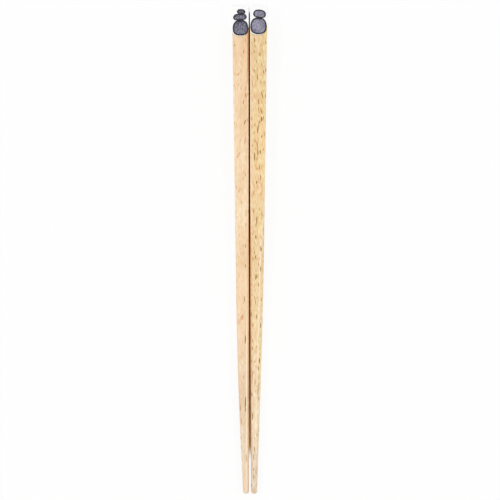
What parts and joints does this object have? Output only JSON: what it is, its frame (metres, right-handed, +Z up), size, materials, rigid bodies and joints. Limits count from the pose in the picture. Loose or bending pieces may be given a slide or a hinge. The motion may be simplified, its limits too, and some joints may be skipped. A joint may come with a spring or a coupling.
{
  "type": "pair of wooden chopsticks",
  "caption": "Wooden chopsticks lying side by side: square white-lacquered ends with a printed stone motif, tapering to small rounded tips.",
  "frame": {"origin": "under the middle of the pair, on the surface that it lies on", "axes": "+X across the pair to the right stick, +Y along the sticks to their square butts, +Z up from the table"},
  "size_m": [0.0162, 0.225, 0.0079],
  "materials": {
    "beech_rosy": "clear satin lacquer over beech with a faint pink tone",
    "beech_golden": "clear satin lacquer over beech with a yellow tone and many dark ray flecks",
    "white_lacquer": "smooth opaque white lacquer, satin gloss",
    "dark_grey_ink": "mottled dark grey-mauve print with near-black outlines",
    "light_grey_ink": "mottled lighter grey-mauve print with near-black outlines"
  },
  "bodies": {
    "root": {"left_stick": "beech_rosy", "left_white_end": "white_lacquer", "left_stone_print": "dark_grey_ink", "right_stick": "beech_golden", "right_white_end": "white_lacquer", "right_stone_print": "light_grey_ink"}
  },
  "joints": []
}
